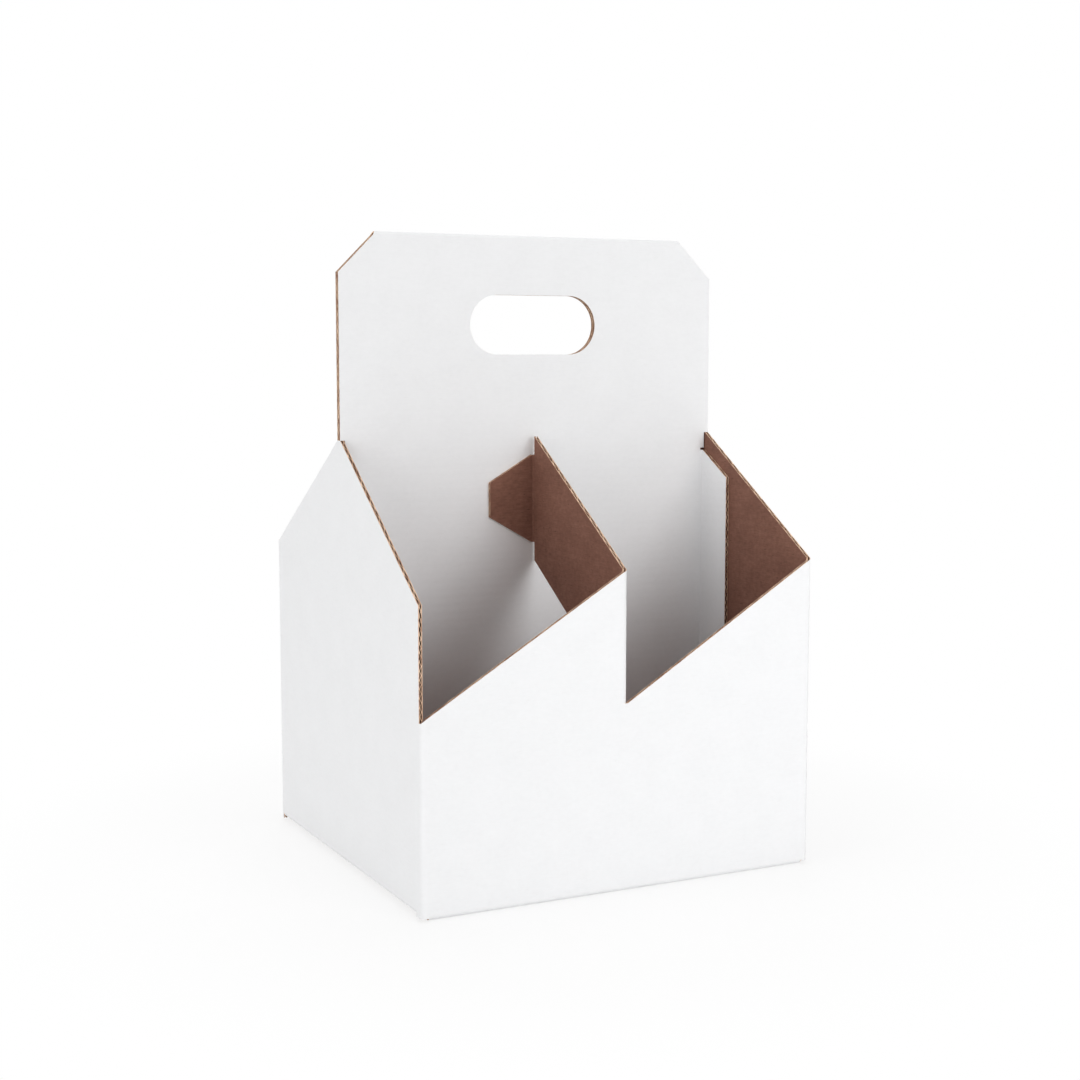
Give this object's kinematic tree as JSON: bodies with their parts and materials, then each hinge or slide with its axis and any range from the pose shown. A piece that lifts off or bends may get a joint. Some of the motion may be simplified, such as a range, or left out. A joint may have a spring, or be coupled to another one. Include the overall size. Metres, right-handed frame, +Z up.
{
  "type": "bottle carrier",
  "caption": "Open corrugated board carrier with sawtooth front and back, peaked sides, a tall central handle panel with a hand hole, and diagonal straps that part the cells.",
  "frame": {"origin": "middle of the base, on the surface it stands on", "axes": "+Z up, -Y towards the front wall with the sawtooth, +X to the right as seen from the front"},
  "size_m": [0.178, 0.17, 0.266],
  "materials": {
    "white_board": "matte white outer liner, brown kraft inner liner and raw edges",
    "kraft_board": "uncoated brown kraft liner and raw fluted edges"
  },
  "bodies": {
    "root": {"carrier_body": "white_board", "handle_panel": "white_board"}
  },
  "joints": []
}
